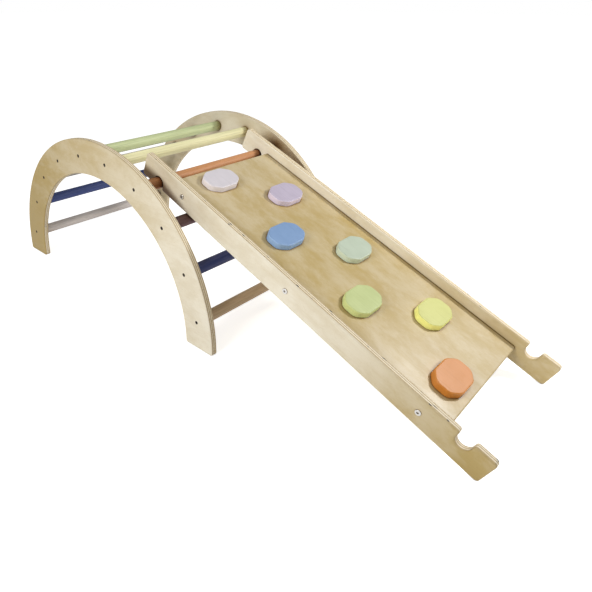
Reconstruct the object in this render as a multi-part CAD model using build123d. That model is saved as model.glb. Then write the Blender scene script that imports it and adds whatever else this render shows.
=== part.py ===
from build123d import *
from math import asin, atan2, cos, degrees, hypot, radians, sin
import os

# A wooden climbing arch with a ramp that hooks over one of its rungs and rests on the floor.
# One face of the ramp carries climbing stones. Turned over, its other face is a smooth slide.
# Lengths are in millimetres and angles in degrees. +Z is up, +X runs down the ramp, and +Y runs
# along the rungs. The right side is the -Y side, as seen by a child who slides down.

# Plywood sheet
PANEL = 18.0

# Arch sides: a half ring on the floor
ARCH_RADIUS = 450.0
ARCH_BAND = 94.0
ARCH_WIDTH = 554.0
ARCH_EDGE_ROUND = 3.0
FOOT_CORNER = 6.0

# Rungs
RUNG_COUNT = 10
RUNG_DIAMETER = 30.0
RUNG_CIRCLE_RADIUS = 404.0
RUNG_STEP_ANGLE = 17.6
RUNG_END_CHAMFER = 1.0
SOCKET_DEPTH = 8.0
SOCKET_CLEARANCE = 0.1
HOOK_RUNG = 7

# Ramp rails
RAIL_LENGTH = 1012.0
RAIL_HEIGHT = 64.0
RAMP_WIDTH = 398.0
RAIL_EDGE_ROUND = 4.0
RAIL_CORNER = 8.0
HOOK_OFFSET = 443.0
HOOK_RADIUS = 16.0
HOOK_CENTRE_DEPTH = 13.0
HOOK_LIP_ROUND = 6.0

# Deck
DECK_LENGTH = 822.0
DECK_THICKNESS = 12.0
DECK_END_ROUND = 3.0
DECK_SIDE_CHAMFER = 0.8

# Climbing stones: rounded octagons, lying across the ramp
STONE_COUNT = 7
STONE_LENGTH = 70.0
STONE_WIDTH = 104.0
STONE_FLAT_SHARE = 0.5
STONE_THICKNESS = 16.0
STONE_CORNER = 20.0
STONE_TOP_ROUND = 3.0
STONE_PITCH = 119.0
STONE_SIDE_OFFSET = 67.0
STONE_SCREW_SPACING = 50.0

# Countersunk screws: (head diameter, head height, shank diameter, shank length, thread diameter,
# whole length). A screw's shank ends where the panel that holds its head ends.
HEAD_SINK = 0.4
RUNG_SCREW = (9.0, 3.0, 5.0, PANEL - SOCKET_DEPTH - HEAD_SINK, 4.0, 60.0)
STONE_SCREW = (8.0, 2.6, 4.2, DECK_THICKNESS - HEAD_SINK, 3.4, 22.0)
TIP_LENGTH = 4.0
CROSS_LENGTH_SHARE = 0.55
CROSS_WIDTH = 1.1
CROSS_DEPTH_SHARE = 0.6

# Screw and bolt holes: wider than their fasteners, and deeper
HOLE_CLEARANCE = 0.1
HOLE_EXTRA_DEPTH = 1.0

# Rail bolts: low round heads with a hexagon socket
BOLT_SPACING = 355.0
BOLT_HEAD_DIAMETER = 13.0
BOLT_HEAD_HEIGHT = 1.8
BOLT_HEAD_ROUND = 0.8
BOLT_SHANK_DIAMETER = 7.0
BOLT_THREAD_DIAMETER = 5.0
BOLT_LENGTH = 55.0
BOLT_SOCKET = 5.0
BOLT_SOCKET_DEPTH = 1.4

# Sizes that follow from the driving dimensions
SIDES = (-1, 1)
SIDE_NAMES = {-1: "right", 1: "left"}
ARCH_INNER_FACE = ARCH_WIDTH / 2 - PANEL
DECK_WIDTH = RAMP_WIDTH - 2 * PANEL
HOOK_CENTRE_Z = -(RAIL_HEIGHT / 2 - HOOK_CENTRE_DEPTH)
TOUCHING = 0.1


def rung_centre(number):
    """The place (x, z) of a rung's axis. Rung 1 is the lowest on the side away from the ramp."""
    angle = radians(90 + RUNG_STEP_ANGLE * ((RUNG_COUNT + 1) / 2 - number))
    return RUNG_CIRCLE_RADIUS * cos(angle), RUNG_CIRCLE_RADIUS * sin(angle)


def ramp_angle():
    """The slope at which the hooked ramp's lower corner just touches the floor."""
    hook_height = rung_centre(HOOK_RUNG)[1]
    along = HOOK_OFFSET + RAIL_LENGTH / 2 - RAIL_CORNER
    across = RAIL_CORNER - HOOK_CENTRE_DEPTH
    drop = hook_height - RAIL_CORNER
    return degrees(atan2(across, along) + asin(drop / hypot(along, across)))


def ramp_location():
    """Where the ramp's own frame lies: its origin is the middle of the rails, its X runs downhill."""
    slope = ramp_angle()
    turned = Location((0, 0, 0), (0, slope, 0))
    hook = (turned * Location((-HOOK_OFFSET, 0, HOOK_CENTRE_Z))).position
    x, z = rung_centre(HOOK_RUNG)
    return Location((x - hook.X, 0, z - hook.Z), (0, slope, 0))


def model_middle_x(ramp):
    """The middle of the whole model's length, measured in the arch's frame."""
    corner = Location((RAIL_LENGTH / 2 - RAIL_CORNER, 0, RAIL_HEIGHT / 2 - RAIL_CORNER))
    ramp_end = (ramp * corner).position.X + RAIL_CORNER
    return (ramp_end - ARCH_RADIUS) / 2


def across_slab(outline, y_low, y_high):
    """A flat outline, drawn in X and Z, made solid from y_low to y_high."""
    return Pos(0, y_high, 0) * extrude(Plane.XZ * outline, amount=y_high - y_low)


def side_span(side, inner_face):
    """The low and high Y of a panel whose inner face is at the given distance from the middle."""
    faces = (side * inner_face, side * (inner_face + PANEL))
    return min(faces), max(faces)


def turned_solid(points):
    """A solid of revolution about Z from its half profile, given as (radius, height) points."""
    profile = make_face(Polyline(*points, close=True))
    return revolve(Plane.XZ * profile, Axis.Z)


def screw(size):
    """A countersunk screw. Its head is on top, level with Z = 0, and it points down."""
    head, head_height, shank, shank_length, thread, length = size
    body = turned_solid(
        [
            (0, 0),
            (head / 2, 0),
            (shank / 2, -head_height),
            (shank / 2, -shank_length),
            (thread / 2, -shank_length),
            (thread / 2, TIP_LENGTH - length),
            (0, -length),
        ]
    )
    slot = Box(head * CROSS_LENGTH_SHARE, CROSS_WIDTH, 2 * head_height * CROSS_DEPTH_SHARE)
    return body - slot - Rot(0, 0, 90) * slot


def screw_hole(size):
    """The space that a countersunk screw needs, with a clear way in above its head."""
    head, head_height, shank, shank_length, thread, length = size
    head_radius = head / 2 + HOLE_CLEARANCE
    shank_radius = shank / 2 + HOLE_CLEARANCE
    thread_radius = thread / 2 + HOLE_CLEARANCE
    mouth = 2 * HEAD_SINK
    bottom = -length - HOLE_EXTRA_DEPTH
    return turned_solid(
        [
            (0, mouth),
            (head_radius, mouth),
            (head_radius, -HOLE_CLEARANCE),
            (shank_radius, -head_height - HOLE_CLEARANCE),
            (shank_radius, -shank_length),
            (thread_radius, -shank_length),
            (thread_radius, bottom),
            (0, bottom),
        ]
    )


def rung_screw_places():
    """Where the rung screws sit: heads a little below the outer faces, pointing inwards."""
    places = []
    for number in range(1, RUNG_COUNT + 1):
        x, z = rung_centre(number)
        for side in SIDES:
            places.append(Location((x, side * (ARCH_WIDTH / 2 - HEAD_SINK), z), (-90 * side, 0, 0)))
    return places


def arch_side(side):
    """One plywood arch side, with a socket and a screw hole for each rung."""
    ring = Circle(ARCH_RADIUS) - Circle(ARCH_RADIUS - ARCH_BAND)
    above_floor = Pos(0, ARCH_RADIUS / 2) * Rectangle(2 * ARCH_RADIUS, ARCH_RADIUS)
    half_ring = ring & above_floor
    outline = fillet(half_ring.vertices(), FOOT_CORNER)
    panel = across_slab(outline, *side_span(side, ARCH_INNER_FACE))
    panel = fillet(panel.faces().filter_by(Axis.Y).edges(), ARCH_EDGE_ROUND)
    socket_radius = RUNG_DIAMETER / 2 + SOCKET_CLEARANCE
    for number in range(1, RUNG_COUNT + 1):
        x, z = rung_centre(number)
        socket = Rot(90, 0, 0) * Cylinder(socket_radius, 2 * SOCKET_DEPTH)
        panel -= Pos(x, side * ARCH_INNER_FACE, z) * socket
    hole = screw_hole(RUNG_SCREW)
    for place in rung_screw_places():
        if place.position.Y * side > 0:
            panel -= place * hole
    return panel


def rung(number):
    """One round rung, seated in the sockets of both arch sides, with a pilot hole in each end."""
    length = 2 * (ARCH_INNER_FACE + SOCKET_DEPTH)
    bar = Cylinder(RUNG_DIAMETER / 2, length)
    bar = chamfer(bar.edges().filter_by(GeomType.CIRCLE), RUNG_END_CHAMFER)
    x, z = rung_centre(number)
    bar = Location((x, 0, z), (90, 0, 0)) * bar
    hole = screw_hole(RUNG_SCREW)
    for place in rung_screw_places()[2 * number - 2 : 2 * number]:
        bar -= place * hole
    return bar


def rung_screws():
    """The screws that hold the rungs, one at each end."""
    one = screw(RUNG_SCREW)
    return Compound([(place * one).solid() for place in rung_screw_places()])


def rail_outline():
    """A rail seen from its side: a bar with a hook notch below its upper end and above its lower end."""
    notch = Circle(HOOK_RADIUS) + Pos(0, -RAIL_HEIGHT / 2) * Rectangle(2 * HOOK_RADIUS, RAIL_HEIGHT)
    notch = Pos(-HOOK_OFFSET, HOOK_CENTRE_Z) * notch
    outline = Rectangle(RAIL_LENGTH, RAIL_HEIGHT) - notch - Rot(0, 0, 180) * notch
    corners = [v for v in outline.vertices() if abs(v.X) > HOOK_OFFSET + 2 * HOOK_RADIUS]
    outline = fillet(corners, RAIL_CORNER)
    on_edge = [v for v in outline.vertices() if abs(v.Y) > RAIL_HEIGHT / 2 - TOUCHING]
    lips = [v for v in on_edge if abs(abs(v.X) - HOOK_OFFSET) < HOOK_RADIUS + TOUCHING]
    return fillet(lips, HOOK_LIP_ROUND)


def bolt_places():
    """Where the rail bolts sit in the ramp's frame: heads on the rails' outer faces."""
    places = []
    for side in SIDES:
        for step in (-1, 0, 1):
            places.append(Location((step * BOLT_SPACING, side * RAMP_WIDTH / 2, 0), (-90 * side, 0, 0)))
    return places


def bolt():
    """A rail bolt. The underside of its head is at Z = 0, and it points down."""
    head = Cylinder(BOLT_HEAD_DIAMETER / 2, BOLT_HEAD_HEIGHT, align=(Align.CENTER, Align.CENTER, Align.MIN))
    head = fillet(head.edges().group_by(Axis.Z)[-1], BOLT_HEAD_ROUND)
    shaft = turned_solid(
        [
            (0, 0),
            (BOLT_SHANK_DIAMETER / 2, 0),
            (BOLT_SHANK_DIAMETER / 2, -PANEL),
            (BOLT_THREAD_DIAMETER / 2, -PANEL),
            (BOLT_THREAD_DIAMETER / 2, TIP_LENGTH - BOLT_LENGTH),
            (0, -BOLT_LENGTH),
        ]
    )
    socket = extrude(RegularPolygon(BOLT_SOCKET / 2, 6, major_radius=False), amount=BOLT_SOCKET_DEPTH)
    return head + shaft - Pos(0, 0, BOLT_HEAD_HEIGHT - BOLT_SOCKET_DEPTH) * socket


def bolt_hole():
    """The space that a rail bolt's shaft needs in the rail and in the deck's edge."""
    shank_radius = BOLT_SHANK_DIAMETER / 2 + HOLE_CLEARANCE
    thread_radius = BOLT_THREAD_DIAMETER / 2 + HOLE_CLEARANCE
    bottom = -BOLT_LENGTH - HOLE_EXTRA_DEPTH
    return turned_solid(
        [
            (0, HOLE_EXTRA_DEPTH),
            (shank_radius, HOLE_EXTRA_DEPTH),
            (shank_radius, -PANEL),
            (thread_radius, -PANEL),
            (thread_radius, bottom),
            (0, bottom),
        ]
    )


def ramp_rail(side):
    """One plywood rail, in the ramp's frame."""
    panel = across_slab(rail_outline(), *side_span(side, DECK_WIDTH / 2))
    panel = fillet(panel.faces().filter_by(Axis.Y).edges(), RAIL_EDGE_ROUND)
    hole = bolt_hole()
    for place in bolt_places():
        if place.position.Y * side > 0:
            panel -= place * hole
    return panel


def rail_bolts():
    """The bolts that hold the deck between the rails, in the ramp's frame."""
    one = bolt()
    return Compound([(place * one).solid() for place in bolt_places()])


def stone_centre(number):
    """The place (x, y) of a stone on the deck. Stone 1 is the uppermost, and they zigzag down."""
    x = STONE_PITCH * (number - (STONE_COUNT + 1) / 2)
    side = -1 if number % 2 else 1
    return x, side * STONE_SIDE_OFFSET


def stone_screw_places(number):
    """Where a stone's two screws sit: heads sunk in the deck's underside, pointing up."""
    x, y = stone_centre(number)
    z = HEAD_SINK - DECK_THICKNESS / 2
    return [Location((x, y + side * STONE_SCREW_SPACING / 2, z), (180, 0, 0)) for side in SIDES]


def deck():
    """The plywood deck, in the ramp's frame, with holes for the stone screws and the rail bolts."""
    panel = Box(DECK_LENGTH, DECK_WIDTH, DECK_THICKNESS)
    ends = panel.edges().filter_by(Axis.Y)
    panel = fillet(ends, DECK_END_ROUND)
    long_edges = [e for e in panel.edges().filter_by(Axis.X) if e.length > DECK_LENGTH / 2]
    panel = chamfer(long_edges, DECK_SIDE_CHAMFER)
    hole = screw_hole(STONE_SCREW)
    for number in range(1, STONE_COUNT + 1):
        for place in stone_screw_places(number):
            panel -= place * hole
    shaft = bolt_hole()
    for place in bolt_places():
        panel -= place * shaft
    return panel


def stone(number):
    """One climbing stone, in the ramp's frame: a rounded octagon with its top edge rounded over."""
    half_length = STONE_LENGTH / 2
    half_width = STONE_WIDTH / 2
    corner_x = half_length * STONE_FLAT_SHARE
    corner_y = half_width * STONE_FLAT_SHARE
    quarter = [(half_length, corner_y), (corner_x, half_width)]
    half = quarter + [(-x, y) for x, y in reversed(quarter)]
    outline = make_face(Polyline(*half, *[(-x, -y) for x, y in half], close=True))
    outline = fillet(outline.vertices(), STONE_CORNER)
    block = extrude(outline, amount=STONE_THICKNESS)
    block = fillet(block.faces().sort_by(Axis.Z)[-1].edges(), STONE_TOP_ROUND)
    x, y = stone_centre(number)
    block = Pos(x, y, DECK_THICKNESS / 2) * block
    hole = screw_hole(STONE_SCREW)
    for place in stone_screw_places(number):
        block -= place * hole
    return block


def stone_screws():
    """The screws that hold the stones, in the ramp's frame."""
    one = screw(STONE_SCREW)
    places = []
    for number in range(1, STONE_COUNT + 1):
        places += stone_screw_places(number)
    return Compound([(place * one).solid() for place in places])


def arch_nodes():
    """Every node of the arch by name, in the arch's frame."""
    nodes = {}
    for side in SIDES:
        nodes["arch_side_" + SIDE_NAMES[side]] = arch_side(side)
    for number in range(1, RUNG_COUNT + 1):
        nodes["rung_%02d" % number] = rung(number)
    nodes["rung_screws"] = rung_screws()
    return nodes


def ramp_nodes():
    """Every node of the ramp by name, in the ramp's own frame."""
    nodes = {"ramp_deck": deck(), "rail_bolts": rail_bolts(), "stone_screws": stone_screws()}
    for side in SIDES:
        nodes["ramp_rail_" + SIDE_NAMES[side]] = ramp_rail(side)
    for number in range(1, STONE_COUNT + 1):
        nodes["stone_%d" % number] = stone(number)
    return nodes


def main():
    os.makedirs("parts", exist_ok=True)
    ramp = ramp_location()
    centring = Location((-model_middle_x(ramp), 0, 0))
    hook_x, hook_z = rung_centre(HOOK_RUNG)
    print("ramp angle", round(ramp_angle(), 3))
    print("arch centre x", round(centring.position.X, 3))
    print("hook axis x, z", round(hook_x + centring.position.X, 3), round(hook_z, 3))
    for name, piece in arch_nodes().items():
        export_step(centring * piece, "parts/%s.step" % name)
    for name, piece in ramp_nodes().items():
        export_step(centring * ramp * piece, "parts/%s.step" % name)


main()
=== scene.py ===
import math
from collections import namedtuple

import bpy
from mathutils import Matrix, Vector


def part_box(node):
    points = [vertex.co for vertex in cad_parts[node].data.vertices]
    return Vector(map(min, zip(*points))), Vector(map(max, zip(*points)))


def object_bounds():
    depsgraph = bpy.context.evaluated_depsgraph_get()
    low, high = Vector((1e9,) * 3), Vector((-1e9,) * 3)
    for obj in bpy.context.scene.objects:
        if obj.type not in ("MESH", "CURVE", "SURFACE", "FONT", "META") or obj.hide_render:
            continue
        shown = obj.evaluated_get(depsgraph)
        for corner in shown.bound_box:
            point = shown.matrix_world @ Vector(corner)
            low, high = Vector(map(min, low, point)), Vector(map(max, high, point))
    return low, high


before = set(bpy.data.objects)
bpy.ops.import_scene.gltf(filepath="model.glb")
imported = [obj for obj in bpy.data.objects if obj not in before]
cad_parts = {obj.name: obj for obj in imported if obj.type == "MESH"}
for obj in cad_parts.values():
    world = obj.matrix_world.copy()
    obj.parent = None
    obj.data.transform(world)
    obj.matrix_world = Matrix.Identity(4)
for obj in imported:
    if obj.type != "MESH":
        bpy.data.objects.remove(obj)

CAD_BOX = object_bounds()

# ------------------------------------------------------- camera, stage and light

# Camera, in metres and degrees. The turn is anticlockwise from looking along +Y, seen from above.
CAMERA_PLACE = (0.865, -0.995, 0.775)
CAMERA_TURN = 45
CAMERA_DIP = 28.55
CAMERA_LENS_MM = 31.44
CAMERA_SHIFT = (0.137, -0.029)
SENSOR_MM = 36

WHITE = (1, 1, 1, 1)
FLOOR_SIZE = 60
FLOOR_COLOUR = (0.92, 0.92, 0.92, 1)
FLOOR_ROUGHNESS = 0.9
FLOOR_GLOSS = 0.1
# How strongly the floor and the sky glow: as the camera sees them, and as they light the object.
FLOOR_SHOWN = 0.68
FLOOR_GLOW = 0.10
SKY_SHOWN = 1.0
SKY_LIGHT = 0.40

# A square softbox: its place, the point it faces, the length of its side and its power in watts.
Softbox = namedtuple("Softbox", "place aim size power")
SOFTBOXES = {
    "front_softbox": Softbox((0.05, -1.60, 1.25), (0.0, -0.2, 0.25), 0.7, 16.5),
    "side_softbox": Softbox((1.10, 1.00, 1.30), (0.2, 0.0, 0.2), 0.25, 18.5),
}

# ------------------------------------------------------ what each piece looks like

# A painted shade, which darkens a surface's colour where others stand close: the distance it reaches over,
# how much red is left at its darkest, and how open the surface is where the shade is darkest and where it
# ends.
Shade = namedtuple("Shade", "reach depth shut open_from")
TIGHT_CORNER = Shade(0.006, 0.08, 0.15, 0.80)
IN_JOINT = Shade(0.003, 0.04, 0.40, 0.78)
ROUND_STONES = Shade(0.011, 0.28, 0.40, 0.90)
IN_GAP = Shade(0.085, 0.18, 0.50, 0.78)
ROUND_RUNGS = Shade(0.080, 0.06, 0.34, 0.80)
ON_PAINT = Shade(0.004, 0.75, 0.15, 0.80)
ON_METAL = Shade(0.006, 0.02, 0.35, 0.92)
# Shade between pale surfaces turns warmer as it deepens: green and blue fall off faster than red.
SHADE_GREEN_POWER = 1.3
SHADE_BLUE_POWER = 1.75

# A plywood sheet. tones: how tan its face is (0 pale, 1 tan) at the start, middle and end of its length,
# from the leg away from the ramp or from the ramp's upper end. lightness: a factor on its
# colour, partly the sheet's own tone and partly painted light, which is strongest on the far side's
# pieces.
# end_grain: how strongly its end grain shows. corner: the shade it takes from the pieces it meets.
# gap_face: the face, along its own Z, that looks into the gap between arch and ramp, or 0 for none.
Sheet = namedtuple("Sheet", "tones lightness end_grain corner gap_face")
SHEETS = {
    # The near arch's face grows paler towards the ramp: partly the wood's own tone and partly a painted
    # sheen where the front light falls on it.
    "arch_side_right": Sheet((1.12, 0.66, 0.08), 1.03, 1.0, TIGHT_CORNER, -1),
    "arch_side_left": Sheet((0.65, 0.30, 0.25), 1.10, 1.0, TIGHT_CORNER, 1),
    "ramp_rail_right": Sheet((0.22, 0.05, 0.98), 1.07, 0.2, TIGHT_CORNER, 1),
    "ramp_rail_left": Sheet((0.05, 0.10, 0.80), 1.22, 0.2, TIGHT_CORNER, -1),
    "ramp_deck": Sheet((0.75, 0.86, 0.76), 1.06, 0.5, ROUND_STONES, 0),
}
# How squarely a face has to look into the gap to take its shade: from where it starts to where it is full.
FACES_GAP = (0.3, 0.9)
# The gap's shade on the rails starts this far inside the arch's outline, and is full this far inside.
RAIL_SHADE_INSET = (0.018, 0.045)
# The gap's shade starts at this height and is full at this one, which keeps it off the feet.
GAP_FOOT = (0.12, 0.20)

RUNG_COLOURS = {
    "rung_01": (0.635, 0.575, 0.54),
    "rung_02": (0.024, 0.047, 0.19),
    "rung_03": (0.36, 0.33, 0.31),
    "rung_04": (0.05, 0.22, 0.24),
    "rung_05": (0.505, 0.56, 0.295),
    "rung_06": (0.77, 0.73, 0.42),
    "rung_07": (0.53, 0.24, 0.093),
    "rung_08": (0.205, 0.124, 0.145),
    "rung_09": (0.024, 0.040, 0.165),
    "rung_10": (0.557, 0.41, 0.26),
}

# A stone's paint: its colour, and the factor of painted light by which its sides are lighter than its top.
Stone = namedtuple("Stone", "colour side_gain")
STONES = {
    "stone_1": Stone((0.63, 0.59, 0.62), 1.35),
    "stone_2": Stone((0.485, 0.425, 0.525), 1.60),
    "stone_3": Stone((0.195, 0.315, 0.525), 1.50),
    "stone_4": Stone((0.46, 0.53, 0.41), 1.45),
    "stone_5": Stone((0.485, 0.55, 0.23), 1.45),
    "stone_6": Stone((0.585, 0.585, 0.182), 1.90),
    "stone_7": Stone((0.58, 0.212, 0.030), 1.15),
}

# A fastener's metal: its name, its colour, its colour where it is worn, its roughness and how fine its
# marks are.
Metal = namedtuple("Metal", "name colour worn roughness fineness")
FASTENERS = {
    "rung_screws": Metal("dark_screws", (0.06, 0.05, 0.045), (0.16, 0.13, 0.11), 0.42, 900),
    "stone_screws": Metal("zinc_screws", (0.62, 0.61, 0.58), (0.48, 0.46, 0.42), 0.34, 900),
    "rail_bolts": Metal("bolt_steel", (0.86, 0.85, 0.83), (0.70, 0.68, 0.65), 0.36, 700),
}

# Where in the noise a kind of piece takes its grain from: the first piece's place, and the step to the
# next one, so that no two pieces look alike.
GrainFrom = namedtuple("GrainFrom", "start step")
SIDE_GRAIN = GrainFrom((3.7, 1.3, 2.9), (5.1, 4.7, 0))
RAIL_GRAIN = GrainFrom((8.3, 6.1, 5.3), (3.9, 2.7, 0))
DECK_GRAIN = GrainFrom((4.4, 9.2, 7.1), (0, 0, 0))
RUNG_GRAIN = GrainFrom((0, 0, 0), (2.3, 0.7, 1.9))
STONE_GRAIN = GrainFrom((0, 0, 0), (1.7, 3.1, 0.9))


def box_centre(node_name):
    """The middle of a CAD node's box."""
    low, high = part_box(node_name)
    return (low + high) / 2


def ramp_tilt():
    """How far the ramp slopes at rest, from the first stone to the last one on the same side."""
    down = box_centre("stone_7") - box_centre("stone_1")
    return math.atan2(-down.z, down.x)


def grain_place(grain, number=0):
    """Where in the noise the piece of that number takes its grain from."""
    return tuple(start + number * step for start, step in zip(grain.start, grain.step))


# ---------------------------------------------------------------- node helpers

# A noise pattern: how fine it is along X, Y and Z, and the noise node's detail, roughness and distortion.
Pattern = namedtuple("Pattern", "scale detail roughness distortion", defaults=(2, 0.5, 0))


def all_ways(fineness):
    """The scale of a pattern that is equally fine along X, Y and Z."""
    return (fineness, fineness, fineness)


def new_tree(name):
    """A new material with its node tree and its shader."""
    material = bpy.data.materials.new(name)
    material.use_nodes = True
    tree = material.node_tree
    return material, tree, tree.nodes["Principled BSDF"]


def feed(tree, socket, value):
    """Links another node's output to a socket, or sets the socket to a plain value."""
    if isinstance(value, bpy.types.NodeSocket):
        tree.links.new(value, socket)
    else:
        socket.default_value = value


def maths(tree, operation, *values, clamp=False):
    """The output of a Math node that is fed numbers or other nodes' outputs."""
    node = tree.nodes.new("ShaderNodeMath")
    node.operation = operation
    node.use_clamp = clamp
    for socket, value in zip(node.inputs, values):
        feed(tree, socket, value)
    return node.outputs["Value"]


def product(tree, first, second):
    return maths(tree, "MULTIPLY", first, second)


def rest_of(tree, share):
    """What a share leaves of 1."""
    return maths(tree, "SUBTRACT", 1, share)


def mixed(tree, amount, first, second, blend="MIX"):
    """Two colours mixed: all of the first at amount 0, and the blend with the second at amount 1."""
    node = tree.nodes.new("ShaderNodeMix")
    node.data_type = "RGBA"
    node.blend_type = blend
    sockets = [s for s in node.inputs if s.enabled]
    for socket, value in zip(sockets, (amount, first, second)):
        feed(tree, socket, value)
    return [s for s in node.outputs if s.enabled][0]


def lightened(tree, colour, factor):
    """The colour times a factor."""
    node = tree.nodes.new("ShaderNodeVectorMath")
    node.operation = "SCALE"
    feed(tree, node.inputs["Vector"], colour)
    feed(tree, node.inputs["Scale"], factor)
    return node.outputs["Vector"]


def toned(colour, gain, lift=0):
    """A plain colour times a gain plus a lift, held under full white, as four numbers."""
    return tuple(min(1.0, lift + gain * part) for part in colour) + (1,)


def stretched(tree, place, scale, offset):
    """Coordinates multiplied by scale, so that a pattern on them is drawn out along the small ones."""
    node = tree.nodes.new("ShaderNodeMapping")
    feed(tree, node.inputs["Vector"], place)
    feed(tree, node.inputs["Location"], offset)
    feed(tree, node.inputs["Scale"], scale)
    return node.outputs["Vector"]


def noise(tree, place, pattern, offset=(0, 0, 0)):
    """A noise pattern on the coordinates, moved by the offset."""
    node = tree.nodes.new("ShaderNodeTexNoise")
    feed(tree, node.inputs["Vector"], stretched(tree, place, pattern.scale, offset))
    feed(tree, node.inputs["Scale"], 1)
    feed(tree, node.inputs["Detail"], pattern.detail)
    feed(tree, node.inputs["Roughness"], pattern.roughness)
    feed(tree, node.inputs["Distortion"], pattern.distortion)
    return node.outputs["Fac"]


def between(tree, value, low, high, to_low=0, to_high=1):
    """The value's range low to high, spread smoothly over to_low to to_high and held at its ends."""
    node = tree.nodes.new("ShaderNodeMapRange")
    node.interpolation_type = "SMOOTHSTEP"
    for name, setting in (
        ("Value", value), ("From Min", low), ("From Max", high), ("To Min", to_low), ("To Max", to_high),
    ):
        feed(tree, node.inputs[name], setting)
    return node.outputs["Result"]


def bumped(tree, height, distance):
    """A surface normal raised where the height is large, by up to the distance in metres."""
    node = tree.nodes.new("ShaderNodeBump")
    feed(tree, node.inputs["Strength"], 1)
    feed(tree, node.inputs["Distance"], distance)
    feed(tree, node.inputs["Height"], height)
    return node.outputs["Normal"]


def split(tree, vector):
    """A vector's X, Y and Z."""
    node = tree.nodes.new("ShaderNodeSeparateXYZ")
    feed(tree, node.inputs["Vector"], vector)
    return node.outputs["X"], node.outputs["Y"], node.outputs["Z"]


def object_place(tree):
    """A point's coordinates on its own object, which are the shared frame's at rest."""
    return tree.nodes.new("ShaderNodeTexCoord").outputs["Object"]


def in_frame(tree, output, turn, centre=(0, 0, 0)):
    """Object coordinates or the object's own normal, seen from a frame with that turn and centre."""
    source = tree.nodes.new("ShaderNodeTexCoord")
    node = tree.nodes.new("ShaderNodeMapping")
    node.vector_type = "TEXTURE"
    feed(tree, node.inputs["Vector"], source.outputs[output])
    feed(tree, node.inputs["Location"], centre)
    feed(tree, node.inputs["Rotation"], turn)
    return node.outputs["Vector"]


# ---------------------------------------------------------------------- shade


def shaded(tree, colour, kind, share=1.0):
    """The colour, darkened by painted shade where other surfaces stand close by."""
    node = tree.nodes.new("ShaderNodeAmbientOcclusion")
    feed(tree, node.inputs["Distance"], kind.reach)
    left = between(tree, node.outputs["AO"], kind.shut, kind.open_from, kind.depth, 1)
    shade = tree.nodes.new("ShaderNodeCombineColor")
    feed(tree, shade.inputs["Red"], left)
    feed(tree, shade.inputs["Green"], maths(tree, "POWER", left, SHADE_GREEN_POWER))
    feed(tree, shade.inputs["Blue"], maths(tree, "POWER", left, SHADE_BLUE_POWER))
    return mixed(tree, share, colour, shade.outputs["Color"], blend="MULTIPLY")


def inside_arch(tree, place):
    """1 well inside the arch's outline and 0 outside it, seen from the side."""
    low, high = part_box("arch_side_right")
    node = tree.nodes.new("ShaderNodeVectorMath")
    node.operation = "LENGTH"
    from_middle = stretched(tree, place, (1, 0, 1), (-(low.x + high.x) / 2, 0, -low.z))
    feed(tree, node.inputs["Vector"], from_middle)
    start, full = RAIL_SHADE_INSET
    outline = (high.x - low.x) / 2
    return rest_of(tree, between(tree, node.outputs["Value"], outline - full, outline - start))


def gap_share(tree, name, normal_z):
    """Where a sheet takes the shade of the gap: on the face that looks into it, above the feet."""
    share = between(tree, product(tree, normal_z, SHEETS[name].gap_face), *FACES_GAP)
    place = object_place(tree)
    height = split(tree, place)[2]
    share = product(tree, share, between(tree, height, *GAP_FOOT))
    if name.startswith("ramp_rail"):
        share = product(tree, share, inside_arch(tree, place))
    return share


# ------------------------------------------------------------------- plywood

# Birch veneers, glued with the grain of each at right angles to the next.
SIDE_THICKNESS = 0.018
DECK_THICKNESS = 0.012
PLY_COUNT = 7
# The plies are worked out this much too thick, which keeps the surface itself inside the outermost one.
PLY_OVERSIZE = 1.003

VENEER_PALE = (0.77, 0.705, 0.565, 1)
VENEER_TAN = (0.44, 0.32, 0.115, 1)
VENEER_GRAIN = (0.84, 0.77, 0.62, 1)
PLY_LONG = (0.82, 0.74, 0.56, 1)
PLY_CROSS = (0.52, 0.39, 0.21, 1)
PLY_END = (0.20, 0.135, 0.065, 1)
GLUE_LINE = (0.16, 0.10, 0.05, 1)
PLY_GAP = (0.04, 0.028, 0.02, 1)

# The face's patterns, and how each shows: the noise's range, and what that range is spread over.
VENEER_PATCHES = Pattern((8, 15, 8), 7, 0.7, 0.2)
VENEER_FIGURE = Pattern((5, 24, 4), 4, 0.5, 0.5)
VENEER_STREAKS = Pattern((9, 330, 9), 3, 0.6)
VENEER_FLECKS = Pattern((130, 1500, 60), 1)
PATCHES_TONE = (0.34, 0.66, -0.16, 0.14)
FIGURE_SHOWS = (0.46, 0.74, 0, 0.15)
STREAKS_SHOW = (0.50, 0.80, 0, 0.26)
FLECKS_SHOW = (0.64, 0.78, 0, 0.80)

# The edge's patterns, and how strongly each colour is laid over the plies.
EDGE_SPECKLE = Pattern((260, 260, 400), 3, 0.7)
EDGE_GAPS = Pattern((75, 75, 150), 0)
SPECKLE_SHOWS = (0.50, 0.62)
GAPS_SHOW = (0.76, 0.79)
SPECKLE_SHARE = 0.55
GLUE_SHARE = 0.75
# Where the glue starts and is full, in plies from a ply's middle. The ply itself ends at 0.5.
GLUE_FROM = (0.38, 0.46)
# How sharply the end grain is held to edges that face along it, how strongly it shows in the crosswise
# plies there, and how much more it shows in the lengthwise ones.
END_GRAIN_POWER = 5
END_GRAIN_CROSSWISE = 0.6
END_GRAIN_LENGTHWISE_MORE = 0.4

# How squarely a surface has to lie in the sheet to count as its face.
COUNTS_AS_FACE = (0.75, 0.97)
# The range of the noise, and the roughness that it is spread over.
FACE_ROUGHNESS = (0.3, 0.7, 0.36, 0.46)
EDGE_ROUGHNESS = (0.3, 0.7, 0.50, 0.66)
FACE_RELIEF = 0.25
PLYWOOD_BUMP = 0.00012

# What plies() finds out about a point: whether its ply runs crosswise, how near it is to a glue line,
# and whether it lies in an outermost ply.
Plies = namedtuple("Plies", "crosswise glue outermost")


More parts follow.
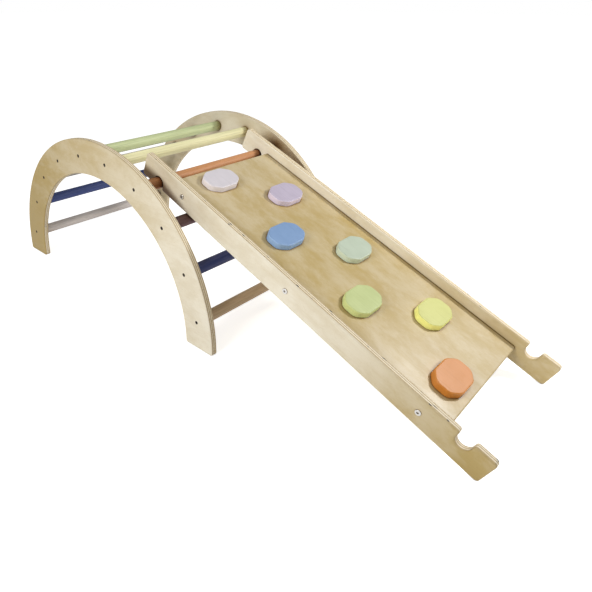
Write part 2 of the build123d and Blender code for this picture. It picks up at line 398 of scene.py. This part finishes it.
def tone_along(tree, place_x, half_length, tones):
    """A tone that passes smoothly through three values: at a sheet's start, middle and end."""
    start, middle, end = tones
    first = between(tree, place_x, -half_length, 0, start, middle)
    second = between(tree, place_x, 0, half_length, 0, end - middle)
    return maths(tree, "ADD", first, second)


def face_veneer(tree, place, offset, tone):
    """The colour of the outer veneers, their figure, and the fine grain that gives them their relief."""
    patches = noise(tree, place, VENEER_PATCHES, offset)
    figure = noise(tree, place, VENEER_FIGURE, offset)
    streaks = noise(tree, place, VENEER_STREAKS, offset)
    flecks = noise(tree, place, VENEER_FLECKS, offset)
    tan_share = maths(tree, "ADD", tone, between(tree, patches, *PATCHES_TONE), clamp=True)
    face = mixed(tree, tan_share, VENEER_PALE, VENEER_TAN)
    grained = mixed(tree, 1.0, face, VENEER_GRAIN, blend="MULTIPLY")
    face = mixed(tree, between(tree, figure, *FIGURE_SHOWS), face, grained)
    face = mixed(tree, between(tree, streaks, *STREAKS_SHOW), face, grained)
    face = mixed(tree, between(tree, flecks, *FLECKS_SHOW), face, grained)
    return face, figure, maths(tree, "ADD", streaks, flecks)


def plies(tree, depth, thickness):
    """Which ply a point is in, counted from the middle one, and how near it is to a glue line."""
    ply = thickness / PLY_COUNT * PLY_OVERSIZE
    plies_out = maths(tree, "DIVIDE", maths(tree, "ABSOLUTE", depth), ply)
    index = maths(tree, "ROUND", plies_out)
    crosswise = maths(tree, "MODULO", maths(tree, "ADD", index, PLY_COUNT // 2), 2)
    from_middle = maths(tree, "ABSOLUTE", maths(tree, "SUBTRACT", plies_out, index))
    outermost = maths(tree, "GREATER_THAN", index, PLY_COUNT / 2 - 1)
    return Plies(crosswise, between(tree, from_middle, *GLUE_FROM), outermost)


def end_grain(tree, normal_x, layers):
    """How strongly the end grain shows: where the edge faces along it, and most in lengthwise plies."""
    along = maths(tree, "POWER", maths(tree, "ABSOLUTE", normal_x), END_GRAIN_POWER)
    lengthwise = rest_of(tree, layers.crosswise)
    strength = maths(tree, "MULTIPLY_ADD", lengthwise, END_GRAIN_LENGTHWISE_MORE, END_GRAIN_CROSSWISE)
    return product(tree, along, strength)


def sheet_edge(tree, place, offset, layers, end_share, face):
    """The colour of the sheet's edge, the speckle of its cut wood, and its relief."""
    speckle = noise(tree, place, EDGE_SPECKLE, offset)
    rough_end = product(tree, between(tree, speckle, *SPECKLE_SHOWS), end_share)
    gaps = between(tree, noise(tree, place, EDGE_GAPS, offset), *GAPS_SHOW)
    gap_here = product(tree, gaps, layers.crosswise)
    edge = mixed(tree, layers.outermost, mixed(tree, layers.crosswise, PLY_LONG, PLY_CROSS), face)
    edge = mixed(tree, product(tree, rough_end, SPECKLE_SHARE), edge, PLY_END)
    edge = mixed(tree, product(tree, layers.glue, GLUE_SHARE), edge, GLUE_LINE)
    edge = mixed(tree, gap_here, edge, PLY_GAP)
    return edge, speckle, maths(tree, "SUBTRACT", speckle, maths(tree, "ADD", layers.glue, gap_here))


def plywood(name, centre, turn, thickness, half_length, offset):
    """Lacquered birch plywood, solid all through: X is the face grain and Z the depth of the sheet."""
    sheet = SHEETS[name]
    material, tree, shader = new_tree(name)
    place = in_frame(tree, "Object", turn, centre)
    place_x, _, depth = split(tree, place)
    normal_x, _, normal_z = split(tree, in_frame(tree, "Normal", turn))

    layers = plies(tree, depth, thickness)
    tone = tone_along(tree, place_x, half_length, sheet.tones)
    face, figure, grain_relief = face_veneer(tree, place, offset, tone)
    end_share = product(tree, end_grain(tree, normal_x, layers), sheet.end_grain)
    edge, speckle, edge_relief = sheet_edge(tree, place, offset, layers, end_share, face)

    facing = between(tree, maths(tree, "ABSOLUTE", normal_z), *COUNTS_AS_FACE)
    on_face = product(tree, facing, layers.outermost)
    off_face = rest_of(tree, on_face)
    # Lightened by the sheet's factor, which is partly its own tone and partly painted light.
    wood = lightened(tree, mixed(tree, on_face, edge, face), sheet.lightness)
    # Painted shade in corners and joints, and on a face that looks into the gap between arch and ramp.
    wood = shaded(tree, wood, sheet.corner)
    wood = shaded(tree, wood, IN_JOINT)
    if sheet.gap_face:
        wood = shaded(tree, wood, IN_GAP, gap_share(tree, name, normal_z))
    feed(tree, shader.inputs["Base Color"], wood)

    rough_face = product(tree, between(tree, figure, *FACE_ROUGHNESS), on_face)
    rough_edge = product(tree, between(tree, speckle, *EDGE_ROUGHNESS), off_face)
    feed(tree, shader.inputs["Roughness"], maths(tree, "ADD", rough_face, rough_edge))

    relief_face = product(tree, product(tree, grain_relief, FACE_RELIEF), on_face)
    relief = maths(tree, "ADD", relief_face, product(tree, edge_relief, off_face))
    feed(tree, shader.inputs["Normal"], bumped(tree, relief, PLYWOOD_BUMP))
    return material


# --------------------------------------------------------------- stained rungs

RUNG_FIGURE = Pattern((60, 3, 60), 3, 0.5, 0.5)
RUNG_STREAKS = Pattern((420, 9, 420), 3, 0.6)
RUNG_FLECKS = Pattern((1300, 90, 1300), 1)
RUNG_FIGURE_SHOWS = (0.35, 0.70)
RUNG_STREAKS_SHOW = (0.46, 0.76, 0, 0.55)
RUNG_FLECKS_SHOW = (0.64, 0.78, 0, 0.5)
# How the stain's darker and paler tones come from its colour.
STAIN_DARK_GAIN = 0.62
STAIN_PALE_GAIN = 1.12
STAIN_PALE_LIFT = 0.04
STAIN_ROUGHNESS = (0.3, 0.7, 0.42, 0.54)
STAIN_GLOSS = 0.25
RUNG_BUMP = 0.00008


def stained_wood(name, colour, offset):
    """A turned hardwood rung, stained through and lacquered. Its grain runs along Y."""
    material, tree, shader = new_tree(name)
    place = object_place(tree)
    figure = noise(tree, place, RUNG_FIGURE, offset)
    streaks = noise(tree, place, RUNG_STREAKS, offset)
    flecks = noise(tree, place, RUNG_FLECKS, offset)
    dark = toned(colour, STAIN_DARK_GAIN)
    pale = toned(colour, STAIN_PALE_GAIN, STAIN_PALE_LIFT)
    wood = mixed(tree, between(tree, figure, *RUNG_FIGURE_SHOWS), pale, (*colour, 1))
    wood = mixed(tree, between(tree, streaks, *RUNG_STREAKS_SHOW), wood, dark)
    wood = mixed(tree, between(tree, flecks, *RUNG_FLECKS_SHOW), wood, dark)
    feed(tree, shader.inputs["Base Color"], shaded(tree, wood, ROUND_RUNGS))
    feed(tree, shader.inputs["Roughness"], between(tree, streaks, *STAIN_ROUGHNESS))
    shader.inputs["Specular IOR Level"].default_value = STAIN_GLOSS
    relief = maths(tree, "ADD", streaks, flecks)
    feed(tree, shader.inputs["Normal"], bumped(tree, relief, RUNG_BUMP))
    return material


# -------------------------------------------------------------- painted stones

STONE_WOOD = Pattern((14, 210, 60), 3, 0.5, 0.4)
PAINT_CLOUDS = Pattern(all_ways(22))
PAINT_PEEL = Pattern(all_ways(620))
CLOUDS_SHOW = (0.3, 0.7)
STONE_WOOD_SHOWS = (0.50, 0.80, 0, 0.5)
# How the paint's darker and paler tones come from its colour.
PAINT_DARK_GAIN = 0.86
PAINT_PALE_GAIN = 1.03
PAINT_PALE_LIFT = 0.02
# The three ranges are of how far a surface faces away from the deck: 0 at a side and 1 on the top. The
# sides are lightened with painted light, which passes into the top's plain tone over the first. The
# rounded rim between them carries a painted highlight, lighter by the gain, which comes in over the second
# and goes out over the third.
SIDE_TO_TOP = (0.3, 0.8)
RIM_RISES = (0.2, 0.6)
RIM_FALLS = (0.97, 0.75)
PAINTED_RIM_HIGHLIGHT = 0.12
PAINT_ROUGHNESS = (0.3, 0.7, 0.42, 0.52)
WOOD_RELIEF = 0.6
PAINT_BUMP = 0.00006


def painted_wood(name, stone, offset):
    """Satin paint rolled on a shaped piece of wood, with faint grain and a slight orange-peel surface."""
    material, tree, shader = new_tree(name)
    deck_turn = (0, ramp_tilt(), 0)
    place = in_frame(tree, "Object", deck_turn)
    grain = noise(tree, place, STONE_WOOD, offset)
    clouds = noise(tree, place, PAINT_CLOUDS, offset)
    peel = noise(tree, place, PAINT_PEEL, offset)
    dark = toned(stone.colour, PAINT_DARK_GAIN)
    pale = toned(stone.colour, PAINT_PALE_GAIN, PAINT_PALE_LIFT)
    paint = mixed(tree, between(tree, clouds, *CLOUDS_SHOW), pale, (*stone.colour, 1))
    paint = mixed(tree, between(tree, grain, *STONE_WOOD_SHOWS), paint, dark)
    normal_z = split(tree, in_frame(tree, "Normal", deck_turn))[2]
    # The sides are lightened with painted light by the stone's factor, and the rounded rim with a painted
    # highlight.
    side_painted_light = between(tree, normal_z, *SIDE_TO_TOP, stone.side_gain, 1)
    rim_painted_highlight = product(tree, between(tree, normal_z, *RIM_RISES), between(tree, normal_z, *RIM_FALLS))
    paint = lightened(tree, paint, maths(tree, "MULTIPLY_ADD", rim_painted_highlight, PAINTED_RIM_HIGHLIGHT, side_painted_light))
    feed(tree, shader.inputs["Base Color"], shaded(tree, paint, ON_PAINT))
    feed(tree, shader.inputs["Roughness"], between(tree, peel, *PAINT_ROUGHNESS))
    relief = maths(tree, "ADD", peel, product(tree, grain, WOOD_RELIEF))
    feed(tree, shader.inputs["Normal"], bumped(tree, relief, PAINT_BUMP))
    return material


# ------------------------------------------------------------------- fasteners

MARKS_DETAIL = 3
MARKS_ROUGHNESS = 0.7
MARKS_SHOW = (0.3, 0.7)
# How much coarser the wear is than the tool marks, and how it shows.
WEAR_COARSER = 5
WEAR_SHOWS = (0.50, 0.72, 0, 0.7)
ROUGHNESS_SPREAD = 0.07
METAL_BUMP = 0.00003


def metal(kind):
    """A plated or blackened steel fastener with fine tool marks and slight wear."""
    material, tree, shader = new_tree(kind.name)
    place = object_place(tree)
    marks = noise(tree, place, Pattern(all_ways(kind.fineness), MARKS_DETAIL, MARKS_ROUGHNESS))
    wear = noise(tree, place, Pattern(all_ways(kind.fineness / WEAR_COARSER)))
    tone = mixed(tree, between(tree, wear, *WEAR_SHOWS), (*kind.colour, 1), (*kind.worn, 1))
    feed(tree, shader.inputs["Base Color"], shaded(tree, tone, ON_METAL))
    smoothest = kind.roughness - ROUGHNESS_SPREAD
    roughest = kind.roughness + ROUGHNESS_SPREAD
    feed(tree, shader.inputs["Roughness"], between(tree, marks, *MARKS_SHOW, smoothest, roughest))
    feed(tree, shader.inputs["Normal"], bumped(tree, marks, METAL_BUMP))
    shader.inputs["Metallic"].default_value = 1
    return material


# ------------------------------------------------------- materials on the pieces

UPRIGHT = math.radians(90)


def give(node_name, material):
    """Puts a material in every slot of a CAD node."""
    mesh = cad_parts[node_name].data
    for index in range(len(mesh.materials)):
        mesh.materials[index] = material


def give_plywood(node_name, turn, thickness, offset):
    """Gives a CAD node plywood whose face grain runs along the turned X."""
    middle = box_centre(node_name)
    half_length = (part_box(node_name)[1].x - middle.x) / math.cos(turn[1])
    give(node_name, plywood(node_name, middle, turn, thickness, half_length, offset))


def finish_arch():
    for number, node_name in enumerate(("arch_side_right", "arch_side_left")):
        give_plywood(node_name, (UPRIGHT, 0, 0), SIDE_THICKNESS, grain_place(SIDE_GRAIN, number))
    for number, (node_name, colour) in enumerate(RUNG_COLOURS.items()):
        give(node_name, stained_wood(node_name, colour, grain_place(RUNG_GRAIN, number)))


def finish_ramp():
    tilt = ramp_tilt()
    for number, node_name in enumerate(("ramp_rail_right", "ramp_rail_left")):
        give_plywood(node_name, (UPRIGHT, tilt, 0), SIDE_THICKNESS, grain_place(RAIL_GRAIN, number))
    give_plywood("ramp_deck", (0, tilt, 0), DECK_THICKNESS, grain_place(DECK_GRAIN))
    for number, (node_name, stone) in enumerate(STONES.items()):
        give(node_name, painted_wood(node_name, stone, grain_place(STONE_GRAIN, number)))


def finish_fasteners():
    for node_name, kind in FASTENERS.items():
        give(node_name, metal(kind))


# ------------------------------------------------------------- stage and camera


def shown_or_lit(tree, shown, lit):
    """One strength for what is seen directly, and another for the light that is given."""
    seen = tree.nodes.new("ShaderNodeLightPath").outputs["Is Camera Ray"]
    return maths(tree, "MULTIPLY_ADD", seen, shown - lit, lit)


def make_floor():
    half = FLOOR_SIZE / 2
    outline = ((-half, -half), (half, -half), (half, half), (-half, half))
    corners = [(x, y, CAD_BOX[0].z) for x, y in outline]
    mesh = bpy.data.meshes.new("floor")
    mesh.from_pydata(corners, [], [(0, 1, 2, 3)])
    floor = bpy.data.objects.new("floor", mesh)
    bpy.context.scene.collection.objects.link(floor)
    material, tree, shader = new_tree("floor")
    shader.inputs["Base Color"].default_value = FLOOR_COLOUR
    shader.inputs["Roughness"].default_value = FLOOR_ROUGHNESS
    shader.inputs["Specular IOR Level"].default_value = FLOOR_GLOSS
    shader.inputs["Emission Color"].default_value = WHITE
    feed(tree, shader.inputs["Emission Strength"], shown_or_lit(tree, FLOOR_SHOWN, FLOOR_GLOW))
    mesh.materials.append(material)


def make_sky():
    """Even white surroundings, shown brighter than the light that they give."""
    world = bpy.data.worlds.new("studio")
    bpy.context.scene.world = world
    world.use_nodes = True
    tree = world.node_tree
    background = tree.nodes["Background"]
    feed(tree, background.inputs["Strength"], shown_or_lit(tree, SKY_SHOWN, SKY_LIGHT))
    background.inputs["Color"].default_value = WHITE


def make_softbox(name, box):
    """A square softbox that lights the object and isn't seen by the camera."""
    light = bpy.data.lights.new(name, "AREA")
    light.shape = "SQUARE"
    light.size = box.size
    light.energy = box.power
    lamp = bpy.data.objects.new(name, light)
    bpy.context.scene.collection.objects.link(lamp)
    lamp.location = box.place
    lamp.rotation_euler = (Vector(box.aim) - Vector(box.place)).to_track_quat("-Z", "Y").to_euler()
    lamp.visible_camera = False


def make_camera():
    data = bpy.data.cameras.new("camera")
    data.sensor_width = SENSOR_MM
    data.lens = CAMERA_LENS_MM
    data.shift_x, data.shift_y = CAMERA_SHIFT
    camera = bpy.data.objects.new("camera", data)
    bpy.context.scene.collection.objects.link(camera)
    turn = Matrix.Rotation(math.radians(CAMERA_TURN), 4, "Z")
    dip = Matrix.Rotation(math.radians(90 - CAMERA_DIP), 4, "X")
    camera.matrix_world = Matrix.Translation(CAMERA_PLACE) @ turn @ dip
    bpy.context.scene.camera = camera


bpy.context.scene.view_settings.view_transform = "Standard"
finish_arch()
finish_ramp()
finish_fasteners()
make_floor()
make_sky()
for softbox_name, softbox in SOFTBOXES.items():
    make_softbox(softbox_name, softbox)
make_camera()
